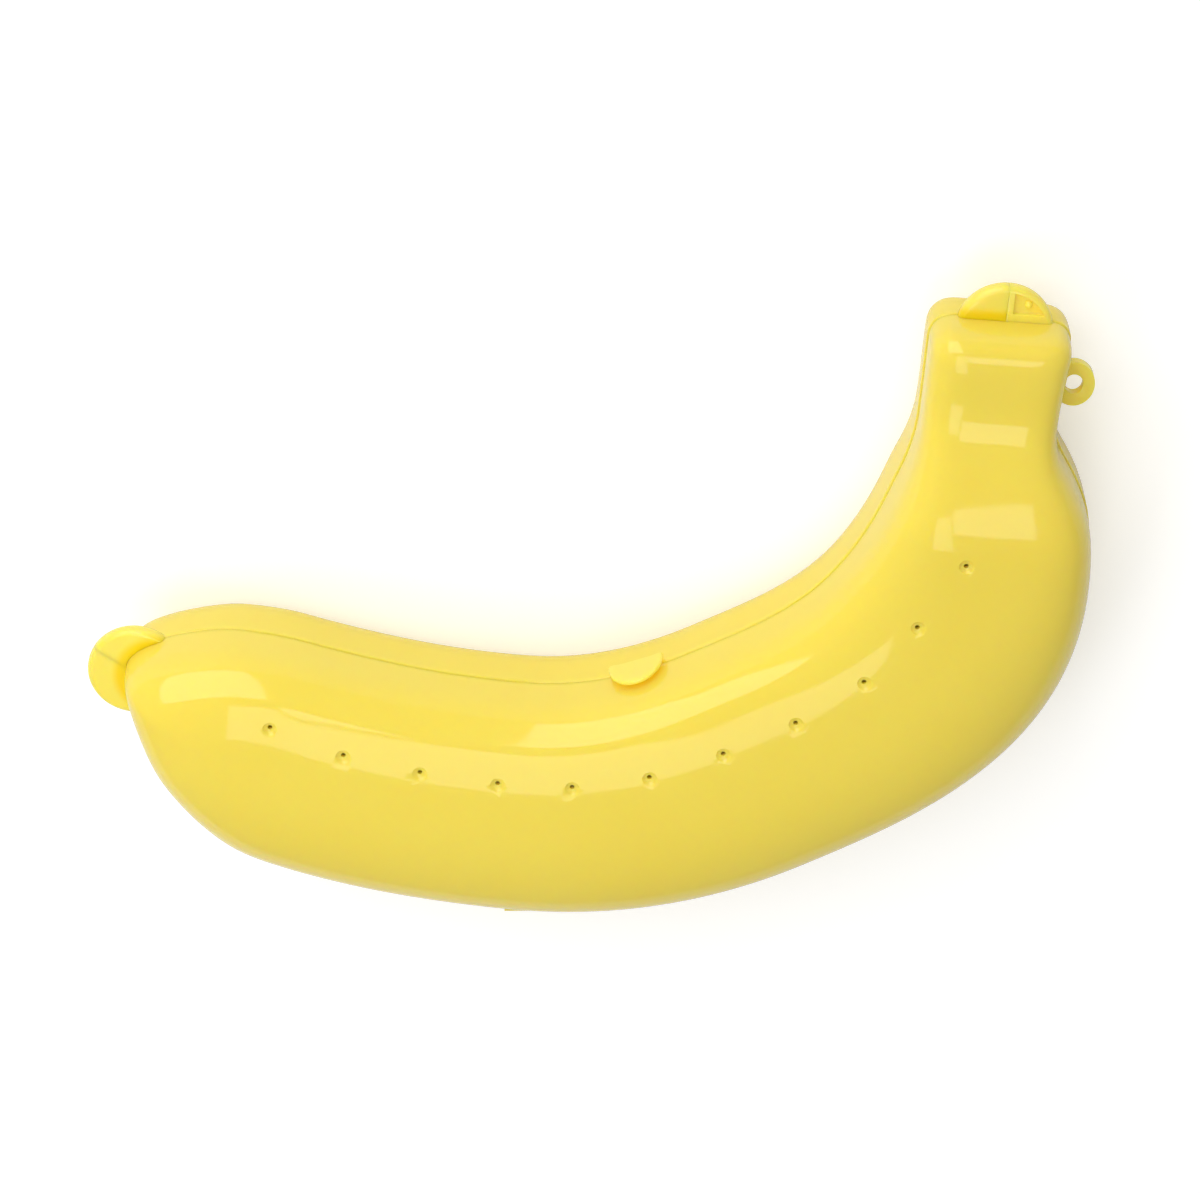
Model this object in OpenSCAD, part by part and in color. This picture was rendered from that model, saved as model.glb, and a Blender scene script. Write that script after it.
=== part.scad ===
// Banana carrying case: two moulded half shells that close rim to rim on a pinned hinge.
// A round latch tab hangs over the inner rim, half tabs at both ends are pushed apart by the
// thumbs, a loop takes a lanyard and a row of vents runs along the top of each shell.
// The closed case lies on its rear shell: +Z is up, the tip is at -X, the stem at +X, and the
// inside of the bend is at +Y. The origin is under the middle of the case.

/* [Bend] */
// Direction of the spine at the tip, in degrees from the long axis
tip_heading = -34; // [-38:0.5:-30]
// Length of the gently bent belly along the spine
belly_len = 87; // [80:1:95]
// Bend radius of the belly
belly_bend = 188; // [165:1:220]
// Length of the tightly bent shoulder along the spine
shoulder_len = 138; // [128:1:146]
// Bend radius of the shoulder
shoulder_bend = 85; // [80:1:92]
// Length of the straight stem neck
neck_len = 33; // [28:1:40]

/* [Outline] */
// Rounding of the tip along the spine
tip_round = 16; // [13:0.5:19]
// Rounding of the two corners of the stem end
stem_corner = 5; // [4:0.5:7]
// Distance from the tip to the cheek, where the tip reaches full width
cheek_at = 30; // [26:1:36]
// Distance from the belly's end to the waist
waist_on = 50; // [42:1:58]
// Distance from the belly's end to the widest part of the shoulder
shoulder_on = 96; // [90:1:102]
// Distance from the neck's start back to the collar
collar_back = 9; // [6:1:13]
// Distance from the neck's start on to the narrowest part of the neck
neck_on = 10; // [7:1:14]
// Half width on the inside of the bend at the tip
in_tip = 13.5; // [11:0.5:16]
// Half width on the inside of the bend at the cheek
in_cheek = 22; // [20:0.5:24]
// Half width on the inside of the bend at the belly
in_belly = 26; // [24:0.5:28]
// Half width on the inside of the bend at the waist
in_waist = 28.5; // [26:0.5:31]
// Half width on the inside of the bend at the shoulder
in_shoulder = 23; // [21:0.5:25.5]
// Half width on the inside of the bend at the collar
in_collar = 19; // [17:0.5:21]
// Half width on the inside of the bend at the neck
in_neck = 15.5; // [14:0.5:17]
// Half width on the inside of the bend at the stem end
in_stem = 15.5; // [14.5:0.5:17]
// Half width on the outside of the bend at the tip
out_tip = 11.5; // [9.5:0.5:14]
// Half width on the outside of the bend at the cheek
out_cheek = 27.5; // [25.5:0.5:29.5]
// Half width on the outside of the bend at the belly
out_belly = 26.5; // [24.5:0.5:28.5]
// Half width on the outside of the bend at the waist
out_waist = 26; // [24:0.5:28]
// Half width on the outside of the bend at the shoulder
out_shoulder = 31.5; // [29:0.5:34]
// Half width on the outside of the bend at the collar
out_collar = 23.5; // [21:0.5:26]
// Half width on the outside of the bend at the neck
out_neck = 13; // [12:0.5:15]
// Half width on the outside of the bend at the stem end
out_stem = 14.5; // [13.5:0.5:16.5]

/* [Section] */
// Depth of each shell from its rim to its crest, along the body
body_depth = 20.5; // [18:0.1:23]
// Depth of each shell at the tip
tip_depth = 18.3; // [16:0.1:20]
// Depth of each shell along the neck
neck_depth = 12.5; // [11:0.1:15]
// Distance from the neck's start back to the top of the ramp down from the shoulder
ramp_back = 12; // [9:1:15]
// Distance from the neck's start on to the foot of the ramp
foot_on = 15; // [13:1:18]
// Length of the hollow rounding at the foot of the ramp
foot_round = 5; // [4:0.5:7]
// Height of the ramp where that rounding starts
foot_rise = 1.7; // [1.4:0.1:2]
// Fullness of the domed top across the body (2 is an ellipse, more is flatter)
full_top = 2.2; // [2:0.1:2.8]
// Fullness of the wall on the inside of the bend (2 is an ellipse, more is squarer)
full_in = 6; // [5:0.5:8]
// Fullness of the wall on the outside of the bend
full_out = 2.9; // [2.6:0.1:3.5]
// Fullness of the neck's top and walls
full_neck = 5.2; // [4:0.1:6]
// Wall thickness of both shells
wall = 1.6; // [1.2:0.1:2.2]

/* [Vents] */
// Shift of the vent row from the middle of the body towards the inside of the bend
vent_shift = 12; // [8:0.5:13]
// Number of vents in each shell
vent_count = 11; // [7:1:11]
// Distance along the spine from the tip to the first vent
vent_first = 28; // [24:0.5:30]
// Distance from vent to vent along their row
vent_pitch = 16.4; // [14:0.1:16.6]
// Diameter of a vent
vent_d = 1.5; // [1.2:0.1:2]
// Diameter of the dimple around a vent
dimple_d = 3; // [2.6:0.1:3.6]
// Depth of the dimple
dimple_h = 0.5; // [0.3:0.1:0.7]

/* [Locating lip] */
// Height of the lip that the front shell puts into the rear shell
lip_h = 2.4; // [1.6:0.1:3]
// Height over which the lip is carried by the front shell's wall
lip_root = 2.4; // [1.6:0.1:3]
// Thickness of the lip
lip_t = 1.1; // [0.9:0.1:1.4]
// Clearance between the lip and the rear shell
lip_clear = 0.4; // [0.35:0.05:0.6]

/* [End tabs] */
// Radius of the lobe that the two half tabs of the tip make together
tip_tab_r = 10; // [9:0.5:11]
// Radius of the lobe that the two half tabs of the stem end make together
stem_tab_r = 10; // [9:0.5:11]
// Thickness of a half tab
tab_t = 2.4; // [2:0.1:2.6]
// Distance along the spine from the tip to the centre of the tip lobe
tip_tab_at = 0.25; // [0:0.25:2]
// Shift of the tip lobe from the spine towards the outside of the bend
tip_tab_shift = 1.75; // [0:0.25:3]
// Distance along the spine from the stem end back to the centre of the stem lobe
stem_tab_back = 2.75; // [2:0.25:4]
// Slit between the two half tabs
tab_slit = 0.5; // [0.4:0.1:1]
// Width of the border round the recess in the front stem tab
recess_border = 1.3; // [1:0.1:1.6]
// Depth of the recess in the front stem tab
recess_h = 1; // [0.6:0.1:1.2]
// Diameter of the nub in the recess
nub_d = 1.6; // [1.2:0.1:2]

/* [Latch] */
// Distance along the spine from the tip to the latch
latch_at = 118; // [110:1:124]
// Diameter of the latch disc
disc_d = 12; // [10:0.5:14]
// Thickness of the latch disc
disc_t = 1.2; // [1:0.1:1.6]
// Height of the disc's centre over the rim
disc_rise = 2; // [1.5:0.1:2.5]
// Stand-off between the rim and the back of the disc
latch_gap = 0.9; // [0.8:0.05:1.2]
// Width of the web that carries the disc on the rear shell
web_w = 6; // [5:0.5:7]
// Height of the web
web_h = 2.8; // [2.2:0.1:3]
// Distance from the rim down to the web
web_drop = 0.4; // [0.3:0.1:0.6]
// Length of the catch rib on the front shell, behind the disc
catch_len = 9; // [7:0.5:10]
// Height of the catch rib
catch_h = 1.2; // [1:0.1:1.6]
// Distance from the rim up to the catch rib
catch_rise = 0.8; // [0.6:0.1:1.1]
// Thickness of the catch rib at its middle
catch_t = 0.5; // [0.45:0.05:0.55]

/* [Lanyard loop] */
// Distance along the spine from the tip to the loop
loop_at = 244; // [240:1:247]
// Radius of the loop's hole
loop_hole_r = 1.9; // [1.5:0.1:2]
// Width of the ring round the hole
loop_band = 2.4; // [2:0.1:3]
// Distance from the rim out to the centre of the hole
loop_out = 2.4; // [2.3:0.1:2.8]
// Thickness of the loop
loop_t = 2.4; // [2:0.1:2.6]
// Distance from the rim down to the loop
loop_drop = 0.2; // [0.2:0.1:0.4]

/* [Hinge] */
// Outer radius of the hinge knuckles
knuckle_r = 1.7; // [1.5:0.1:2.2]
// Radius of the hinge pin
pin_r = 0.8; // [0.7:0.05:1]
// Length of the front shell's knuckle, in the middle
front_knuckle_len = 10; // [8:0.5:12]
// Length of each of the rear shell's two knuckles
rear_knuckle_len = 6; // [5:0.5:7]
// End gap between neighbouring knuckles
knuckle_gap = 0.3; // [0.2:0.05:0.4]
// Clearance between a knuckle and the other shell
hinge_clear = 0.35; // [0.3:0.05:0.5]
// Radial clearance of the pin in the rear knuckles
pin_seat_clear = 0.02; // [0.01:0.01:0.03]
// Radial clearance of the pin in the front knuckle
pin_run_clear = 0.08; // [0.05:0.01:0.1]
// Length of pin that stands out at each end
pin_end = 0.6; // [0.4:0.1:1]

/* [Hidden] */

// Banana yellow of the mouldings, and the paler yellow where they are thin.
shell_yellow = [0.95, 0.86, 0.36];
thin_yellow = [0.97, 0.90, 0.45];

// Facets of a round face, and how far a cutter reaches past what it cuts.
$fn = 64;
past = 1;

// Points along the tip's rounding, the body, a stem corner and the stem's straight end.
tip_steps = 7;
body_steps = 30;
corner_steps = 3;
end_steps = 4;
body_first = tip_steps;
body_last = tip_steps + body_steps - 1;

// Rings of a shell from its rim up to the crest, as angles of the section's curve.
level_angles = [0, 3, 7, 12, 20, 30, 40, 50, 60, 70, 80];
level_count = len(level_angles);

// Spine lengths and turns.
deg = 180 / PI;
neck_start = belly_len + shoulder_len;
spine_len = neck_start + neck_len;
belly_turn = deg * belly_len / belly_bend;
shoulder_turn = deg * shoulder_len / shoulder_bend;
stem_heading = tip_heading + belly_turn + shoulder_turn;
shoulder_at = belly_len + shoulder_on;
collar_at = neck_start - collar_back;
neck_at = neck_start + neck_on;

// Stations along the spine, with the half widths and the depths there.
width_at = [
    0, cheek_at, belly_len, belly_len + waist_on, shoulder_at, collar_at, neck_at, spine_len
];
in_widths = [
    in_tip, in_cheek, in_belly, in_waist, in_shoulder, in_collar, in_neck, in_stem
];
out_widths = [
    out_tip, out_cheek, out_belly, out_waist, out_shoulder, out_collar, out_neck, out_stem
];
ramp_foot = neck_start + foot_on;
depth_at = [0, cheek_at, neck_start - ramp_back, ramp_foot - foot_round, ramp_foot, spine_len];
depths = [tip_depth, body_depth, body_depth, neck_depth + foot_rise, neck_depth, neck_depth];

function clamp(v, low, high) = min(max(v, low), high);
function fade(t) = let (u = clamp(t, 0, 1)) u * u * (3 - 2 * u);

// A smooth curve through stations, level at each peak and dip.
function rise(x, y, i) = (y[i + 1] - y[i]) / (x[i + 1] - x[i]);
function slope(x, y, i) =
    let (a = rise(x, y, max(i - 1, 0)), b = rise(x, y, min(i, len(x) - 2)))
    a * b <= 0 ? 0 : 2 * a * b / (a + b);
function span_of(x, s, i = 0) = i >= len(x) - 2 || s < x[i + 1] ? i : span_of(x, s, i + 1);
function curve(x, y, s) =
    let (i = span_of(x, s), h = x[i + 1] - x[i], t = (s - x[i]) / h)
    y[i] * (1 + 2 * t) * pow(1 - t, 2) + y[i + 1] * (3 - 2 * t) * t * t
    + h * t * (1 - t) * (slope(x, y, i) * (1 - t) - slope(x, y, i + 1) * t);

// The spine: two tangent arcs and a straight neck.
function arc(from, turn, bend) = bend * [sin(from + turn) - sin(from), cos(from) - cos(from + turn)];
function on_belly(s) = deg * clamp(s, 0, belly_len) / belly_bend;
function on_shoulder(s) = deg * clamp(s - belly_len, 0, shoulder_len) / shoulder_bend;
function heading(s) = tip_heading + on_belly(s) + on_shoulder(s);
function spine(s) =
    arc(tip_heading, on_belly(s), belly_bend)
    + arc(tip_heading + belly_turn, on_shoulder(s), shoulder_bend)
    + max(s - neck_start, 0) * [cos(stem_heading), sin(stem_heading)];
function beside(s, w) = spine(s) + w * [-sin(heading(s)), cos(heading(s))];

function in_width(s) = curve(width_at, in_widths, s);
function out_width(s) = curve(width_at, out_widths, s);
function depth(s) = curve(depth_at, depths, s);
function necking(s) = fade((s - shoulder_at) / (neck_at - shoulder_at));
function crest_offset(s) = (in_width(s) - out_width(s)) / 2;
function crest_xy(s) = beside(s, crest_offset(s));

// Fullness of the top and of a side's wall: the walls match at the tip, and the neck is square.
tip_full = (full_in + full_out) / 2;
function squared(s, full) = full + (full_neck - full) * necking(s);
function top_full(s) = squared(s, full_top);
function wall_full(s, side_full) =
    squared(s, tip_full + (side_full - tip_full) * fade(s / cheek_at));

// Stations of an outline set in by e: each has its place, its share of the width and a corner cut.
function body_station(i) = tip_round + (spine_len - stem_corner - tip_round) * i / body_steps;
function outline_stations(e) = concat(
    [for (i = [0:tip_steps - 1]) let (a = 90 * i / tip_steps)
        [e + (tip_round - e) * (1 - cos(a)), sin(a), 0]],
    [for (i = [0:body_steps - 1]) [body_station(i), 1, 0]],
    [for (i = [0:corner_steps]) let (a = 90 * i / corner_steps, r = stem_corner - e)
        [spine_len - stem_corner + r * sin(a), 1, r * (1 - cos(a))]]
);
function in_rim(q, e) = beside(q[0], (in_width(q[0]) - e) * q[1] - q[2]);
function out_rim(q, e) = beside(q[0], -(out_width(q[0]) - e) * q[1] + q[2]);

// One closed outline set in by e: each point has the index of its crest point, the fullness of
// the top and the fullness of the wall.
function crest_index(j) = clamp(j, body_first + 1, body_last) - body_first - 1;
function rim_point(xy, j, s, side_full) = [xy, crest_index(j), top_full(s), wall_full(s, side_full)];
function ring(e) =
    let (st = outline_stations(e), last = len(st) - 1)
    let (a = in_rim(st[last], e), b = out_rim(st[last], e))
    concat(
        [for (j = [0:last]) rim_point(in_rim(st[j], e), j, st[j][0], full_in)],
        [for (i = [1:end_steps - 1])
            rim_point(a + (b - a) * i / end_steps, last, spine_len, full_neck)],
        [for (j = [last:-1:1]) rim_point(out_rim(st[j], e), j, st[j][0], full_out)]
    );
function outline(e) = [for (q = ring(e)) q[0]];
crest = [for (i = [1:body_steps - 1]) let (s = body_station(i)) [crest_xy(s), depth(s)]];

// Points of one bowl, rim ring first, crest last, set in by e all round.
function bowl(e) = let (r = ring(e)) concat(
    [for (a = level_angles) for (q = r)
        let (c = crest[q[1]], xy = c[0] + (q[0] - c[0]) * pow(cos(a), 2 / q[2]))
        [xy.x, xy.y, (c[1] - e) * pow(sin(a), 2 / q[3])]],
    [for (c = crest) [c[0].x, c[0].y, c[1] - e]]
);
ring_crests = [for (q = ring(0)) q[1]];
ring_count = len(ring_crests);
bowl_count = level_count * ring_count + len(crest);

// Faces of one bowl whose points start at index base.
function bowl_faces(base) = concat(
    [for (k = [0:level_count - 2]) for (i = [0:ring_count - 1])
        let (j = (i + 1) % ring_count, a = base + k * ring_count, b = a + ring_count)
        each [[a + i, a + j, b + j], [a + i, b + j, b + i]]],
    [for (i = [0:ring_count - 1])
        let (j = (i + 1) % ring_count, a = base + (level_count - 1) * ring_count)
        let (b = a + ring_count, p = b + ring_crests[i], q = b + ring_crests[j])
        each p == q ? [[a + i, a + j, p]] : [[a + i, a + j, q], [a + i, q, p]]]
);
function flipped(faces) = [for (f = faces) [f[2], f[1], f[0]]];
rim_faces = [for (i = [0:ring_count - 1]) let (j = (i + 1) % ring_count)
    each [[j, i, bowl_count + i], [j, bowl_count + i, bowl_count + j]]];

// Vents follow the body at an even pitch, on the inner slope of its top.
function turn_rate(s) = s < belly_len ? 1 / belly_bend : s < neck_start ? 1 / shoulder_bend : 0;
function vent_off_crest(s) = vent_shift * (1 - necking(s));
function vent_offset(s) = crest_offset(s) + vent_off_crest(s);
function vent_step(s) = vent_pitch / (1 - vent_offset(s) * turn_rate(s));
function vent_at(i) = i == 0 ? vent_first : let (s = vent_at(i - 1)) s + vent_step(s);
function vent_top(s) =
    let (share = vent_off_crest(s) / (in_width(s) - crest_offset(s)))
    depth(s) * pow(1 - pow(share, top_full(s)), 1 / wall_full(s, full_in));

// The hinge axis lies along X, outside the lowest point of the outer rim.
rim = outline(0);
rim_low_y = min([for (p = rim) p.y]);
rim_low_x = [for (p = rim) if (p.y == rim_low_y) p.x][0];
hinge_y = rim_low_y - knuckle_r - hinge_clear;
rear_knuckle_x = front_knuckle_len / 2 + knuckle_gap;
pin_len = 2 * (rear_knuckle_x + rear_knuckle_len + pin_end);

// Ends of the loop and the tabs, and the middle of the box round the whole case.
tip_tab = beside(tip_tab_at, -tip_tab_shift);
stem_tab_at = spine_len - stem_tab_back;
stem_tab = spine(stem_tab_at);
loop_r = loop_hole_r + loop_band;
rim_step = 0.5;
function out_edge(s) = beside(s, -out_width(s));
function in_edge(s) = beside(s, in_width(s));
loop_way = out_edge(loop_at + rim_step) - out_edge(loop_at - rim_step);
loop_turn = atan2(loop_way.y, loop_way.x);
latch_way = in_edge(latch_at + rim_step) - in_edge(latch_at - rim_step);
latch_turn = atan2(latch_way.y, latch_way.x);
loop_xy = out_edge(loop_at) + loop_out * [sin(loop_turn), -cos(loop_turn)];
latch_xy = in_edge(latch_at);
low = [tip_tab.x - tip_tab_r, hinge_y - knuckle_r];
high = [max(loop_xy.x + loop_r, max([for (p = rim) p.x])), stem_tab.y + stem_tab_r];
middle = (low + high) / 2;

// Moves a piece from the spine's frame, with the rim at z = 0, to the case's own frame.
module in_case() {
    translate([-middle.x, -middle.y, body_depth]) children();
}

// The space inside the outer rim, through the whole height.
module rim_space() {
    translate([0, 0, -body_depth]) linear_extrude(2 * body_depth) polygon(rim);
}

module half_shell() {
    difference() {
        polyhedron(
            points = concat(bowl(0), bowl(wall)),
            faces = concat(bowl_faces(0), flipped(bowl_faces(bowl_count)), rim_faces)
        );
        for (i = [0:vent_count - 1]) {
            s = vent_at(i);
            top = vent_top(s);
            spread = (dimple_d - vent_d) / 2 / dimple_h;
            translate(beside(s, vent_offset(s))) {
                translate([0, 0, top - wall - past]) cylinder(d = vent_d, h = wall + 2 * past);
                translate([0, 0, top - dimple_h])
                    cylinder(d1 = vent_d, d2 = dimple_d + 2 * spread * past, h = dimple_h + past);
            }
        }
    }
}

// Half of an end lobe round a centre, outside the rim: side 1 is the inside of the bend, -1 the outside.
module half_tab(centre, s, r, side) {
    difference() {
        translate(centre) rotate(heading(s)) intersection() {
            cylinder(r = r, h = tab_t);
            translate([-2 * r, side > 0 ? tab_slit / 2 : -2 * r - tab_slit / 2, -past])
                cube([4 * r, 2 * r, tab_t + 2 * past]);
        }
        rim_space();
    }
}

// Shallow recess in a front stem tab, bordered on all its sides.
module stem_recess() {
    edge = stem_tab_back + recess_border;
    translate(stem_tab) rotate(heading(stem_tab_at)) intersection() {
        translate([0, 0, tab_t - recess_h])
            cylinder(r = stem_tab_r - recess_border, h = recess_h + past);
        translate([edge, -2 * stem_tab_r - tab_slit / 2 - recess_border, 0])
            cube([stem_tab_r, 2 * stem_tab_r, tab_t + 2 * past]);
    }
}

// A hinge knuckle from x = from, with its tang on the front (1) or the rear (-1) shell.
module knuckle(from, length, side, bore_r) {
    difference() {
        translate([rim_low_x + from, hinge_y, 0]) union() {
            rotate([0, 90, 0]) cylinder(r = knuckle_r, h = length);
            translate([0, 0, side > 0 ? 0 : -knuckle_r])
                cube([length, 2 * knuckle_r + hinge_clear, knuckle_r]);
        }
        translate([rim_low_x + from - past, hinge_y, 0])
            rotate([0, 90, 0]) cylinder(r = bore_r, h = length + 2 * past);
        rim_space();
    }
}

module rear_shell() {
    color(shell_yellow) in_case() mirror([0, 0, 1]) half_shell();
}

module front_shell() {
    color(shell_yellow) in_case() half_shell();
}

module front_lip() {
    inner = wall + lip_clear + lip_t;
    color(thin_yellow) in_case() union() {
        difference() {
            linear_extrude(lip_root) difference() {
                polygon(outline(wall / 2));
                polygon(outline(inner));
            }
            half_shell();
        }
        translate([0, 0, -lip_h]) linear_extrude(lip_h) difference() {
            polygon(outline(wall + lip_clear));
            polygon(outline(inner));
        }
    }
}

module rear_tip_tab() {
    color(thin_yellow) in_case() mirror([0, 0, 1]) half_tab(tip_tab, tip_tab_at, tip_tab_r, 1);
}

module front_tip_tab() {
    color(thin_yellow) in_case() half_tab(tip_tab, tip_tab_at, tip_tab_r, -1);
}

module rear_stem_tab() {
    color(thin_yellow) in_case() mirror([0, 0, 1]) half_tab(stem_tab, stem_tab_at, stem_tab_r, 1);
}

module front_stem_tab() {
    nub_x = stem_tab_back + 2 * recess_border + nub_d / 2;
    nub_y = -tab_slit / 2 - 2 * recess_border - nub_d;
    color(thin_yellow) in_case() union() {
        difference() {
            half_tab(stem_tab, stem_tab_at, stem_tab_r, -1);
            stem_recess();
        }
        translate(stem_tab) rotate(heading(stem_tab_at))
            translate([nub_x, nub_y, 0]) cylinder(d = nub_d, h = tab_t);
    }
}

module lanyard_loop() {
    color(thin_yellow) in_case() difference() {
        translate([loop_xy.x, loop_xy.y, -loop_drop - loop_t]) difference() {
            cylinder(r = loop_r, h = loop_t);
            translate([0, 0, -past]) cylinder(r = loop_hole_r, h = loop_t + 2 * past);
        }
        rim_space();
    }
}

module latch_web() {
    color(shell_yellow) in_case() difference() {
        translate(latch_xy) rotate(latch_turn)
            translate([-web_w / 2, -past, -web_drop - web_h]) cube([web_w, latch_gap + past, web_h]);
        rim_space();
    }
}

module latch_disc() {
    color(thin_yellow) in_case() translate(latch_xy) rotate(latch_turn)
        translate([0, latch_gap, disc_rise]) rotate([-90, 0, 0]) cylinder(d = disc_d, h = disc_t);
}

module latch_catch() {
    color(shell_yellow) in_case() difference() {
        translate(latch_xy) rotate(latch_turn)
            translate([-catch_len / 2, -past, catch_rise]) cube([catch_len, catch_t + past, catch_h]);
        rim_space();
    }
}

module rear_tip_knuckle() {
    color(shell_yellow) in_case()
        knuckle(-rear_knuckle_x - rear_knuckle_len, rear_knuckle_len, -1, pin_r + pin_seat_clear);
}

module rear_stem_knuckle() {
    color(shell_yellow) in_case()
        knuckle(rear_knuckle_x, rear_knuckle_len, -1, pin_r + pin_seat_clear);
}

module front_knuckle() {
    color(shell_yellow) in_case()
        knuckle(-front_knuckle_len / 2, front_knuckle_len, 1, pin_r + pin_run_clear);
}

module hinge_pin() {
    color(thin_yellow) in_case() translate([rim_low_x - pin_len / 2, hinge_y, 0])
        rotate([0, 90, 0]) cylinder(r = pin_r, h = pin_len);
}

rear_shell();
front_shell();
front_lip();
rear_tip_tab();
front_tip_tab();
rear_stem_tab();
front_stem_tab();
lanyard_loop();
latch_web();
latch_disc();
latch_catch();
rear_tip_knuckle();
rear_stem_knuckle();
front_knuckle();
hinge_pin();
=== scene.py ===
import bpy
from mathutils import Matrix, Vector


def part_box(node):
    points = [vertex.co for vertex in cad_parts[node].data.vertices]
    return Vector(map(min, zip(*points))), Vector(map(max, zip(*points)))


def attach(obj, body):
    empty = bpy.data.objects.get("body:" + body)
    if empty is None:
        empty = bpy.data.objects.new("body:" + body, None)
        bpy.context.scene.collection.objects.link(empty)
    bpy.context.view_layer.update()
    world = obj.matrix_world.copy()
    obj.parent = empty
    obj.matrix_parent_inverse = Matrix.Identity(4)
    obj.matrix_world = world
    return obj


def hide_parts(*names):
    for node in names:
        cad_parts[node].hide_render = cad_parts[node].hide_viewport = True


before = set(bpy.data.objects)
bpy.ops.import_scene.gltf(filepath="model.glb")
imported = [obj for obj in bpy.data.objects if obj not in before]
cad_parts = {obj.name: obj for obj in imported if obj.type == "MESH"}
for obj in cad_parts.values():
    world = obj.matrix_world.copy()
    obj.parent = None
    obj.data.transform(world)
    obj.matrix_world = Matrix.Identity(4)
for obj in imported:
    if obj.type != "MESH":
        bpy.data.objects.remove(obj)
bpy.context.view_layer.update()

import math

import bmesh
import bpy
from mathutils import Vector


# Front shell: the half of the case that faces up, an injection moulding in glossy polypropylene.
# Its wall is even, so the outer skin is lofted along the bend and then thickened inwards.
MM = 0.001
RIM_Z = 20.5
CASE_MIDDLE = Vector((93.9076, 12.9733))

TIP_HEADING = math.radians(-34)
BELLY_LEN, BELLY_BEND = 87, 188
SHOULDER_LEN, SHOULDER_BEND = 138, 85
NECK_LEN = 33
NECK_START = BELLY_LEN + SHOULDER_LEN
SPINE_LEN = NECK_START + NECK_LEN

CHEEK_AT, OUTER_CHEEK_AT, WAIST_AT, SHOULDER_AT, COLLAR_AT, NECK_AT = 30, 38, 137, 183, 216, 235
INNER_STATIONS = (0, CHEEK_AT, BELLY_LEN, WAIST_AT, SHOULDER_AT, COLLAR_AT, NECK_AT, SPINE_LEN)
OUTER_STATIONS = (0, OUTER_CHEEK_AT, BELLY_LEN, WAIST_AT, SHOULDER_AT, COLLAR_AT, NECK_AT, SPINE_LEN)
INNER_WIDTHS = (13.5, 22, 26, 28.5, 23, 19, 15.5, 15.5)
OUTER_WIDTHS = (9.2, 28, 26.5, 26, 31.5, 23.5, 13, 14.5)
TIP_DEPTH, NECK_DEPTH = 18.3, 12.5
RAMP_TOP, RAMP_FOOT, FOOT_ROUND, FOOT_RISE = NECK_START - 12, NECK_START + 15, 5, 1.7
DEPTH_STATIONS = (0, CHEEK_AT, RAMP_TOP, RAMP_FOOT - FOOT_ROUND, RAMP_FOOT, SPINE_LEN)
DEPTHS = (TIP_DEPTH, RIM_Z, RIM_Z, NECK_DEPTH + FOOT_RISE, NECK_DEPTH, NECK_DEPTH)

TOP_FULLNESS, INNER_FULLNESS, OUTER_FULLNESS, NECK_FULLNESS = 2.2, 6, 2.9, 5.2
TIP_FULLNESS = (INNER_FULLNESS + OUTER_FULLNESS) / 2
TIP_ROUND, TIP_REACH, TIP_SHARP, STEM_CORNER = 16, 2.8, 1.08, 5
TIP_STEPS, BODY_STEPS, CORNER_STEPS, END_STEPS = 12, 60, 5, 8
SECTION_STEPS, FINE_STEPS, RIM_CROWDING, CREST_INSET = 16, 400, 4, 2
SHELL_WALL = 1.6
FRONT_SET_IN, REAR_SET_IN = 0.4, 0.1
FRONT_RIM_ROUND, REAR_RIM_ROUND, RIM_ANGLE = 0.04, 0.4, 60


def in_case(x, y, z):
    """A place by the spine, in mm with the rim at z = 0, as a place in the case's frame."""
    return Vector((x - CASE_MIDDLE.x, y - CASE_MIDDLE.y, z + RIM_Z)) * MM


def clamp(value, low, high):
    return min(max(value, low), high)


def fade(t):
    u = clamp(t, 0, 1)
    return u * u * (3 - 2 * u)


def through(stations, values, s):
    """A smooth curve through the stations, level at each peak and dip."""
    def rise(i):
        return (values[i + 1] - values[i]) / (stations[i + 1] - stations[i])

    def slope(i):
        a, b = rise(max(i - 1, 0)), rise(min(i, len(stations) - 2))
        return 0 if a * b <= 0 else 2 * a * b / (a + b)

    i = 0
    while i < len(stations) - 2 and s >= stations[i + 1]:
        i += 1
    h = stations[i + 1] - stations[i]
    t = (s - stations[i]) / h
    ends = values[i] * (1 + 2 * t) * (1 - t) ** 2 + values[i + 1] * (3 - 2 * t) * t * t
    return ends + h * t * (1 - t) * (slope(i) * (1 - t) - slope(i + 1) * t)


def heading(s):
    belly_turn = clamp(s, 0, BELLY_LEN) / BELLY_BEND
    shoulder_turn = clamp(s - BELLY_LEN, 0, SHOULDER_LEN) / SHOULDER_BEND
    return TIP_HEADING + belly_turn + shoulder_turn


def direction(angle):
    return Vector((math.cos(angle), math.sin(angle)))


def spine(s):
    """The middle line of the bend: two tangent arcs, and straight past both of its ends."""
    def arc(start, turn, bend):
        end = start + turn
        return Vector((math.sin(end) - math.sin(start), math.cos(start) - math.cos(end))) * bend

    belly = arc(TIP_HEADING, clamp(s, 0, BELLY_LEN) / BELLY_BEND, BELLY_BEND)
    belly_end = TIP_HEADING + BELLY_LEN / BELLY_BEND
    shoulder = arc(belly_end, clamp(s - BELLY_LEN, 0, SHOULDER_LEN) / SHOULDER_BEND, SHOULDER_BEND)
    straight = min(s, 0) + max(s - NECK_START, 0)
    return belly + shoulder + direction(heading(s)) * straight


def beside(s, offset):
    return spine(s) + Vector((-math.sin(heading(s)), math.cos(heading(s)))) * offset


def inner_width(s):
    return through(INNER_STATIONS, INNER_WIDTHS, max(s, 0))


def outer_width(s):
    return through(OUTER_STATIONS, OUTER_WIDTHS, max(s, 0))


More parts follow.
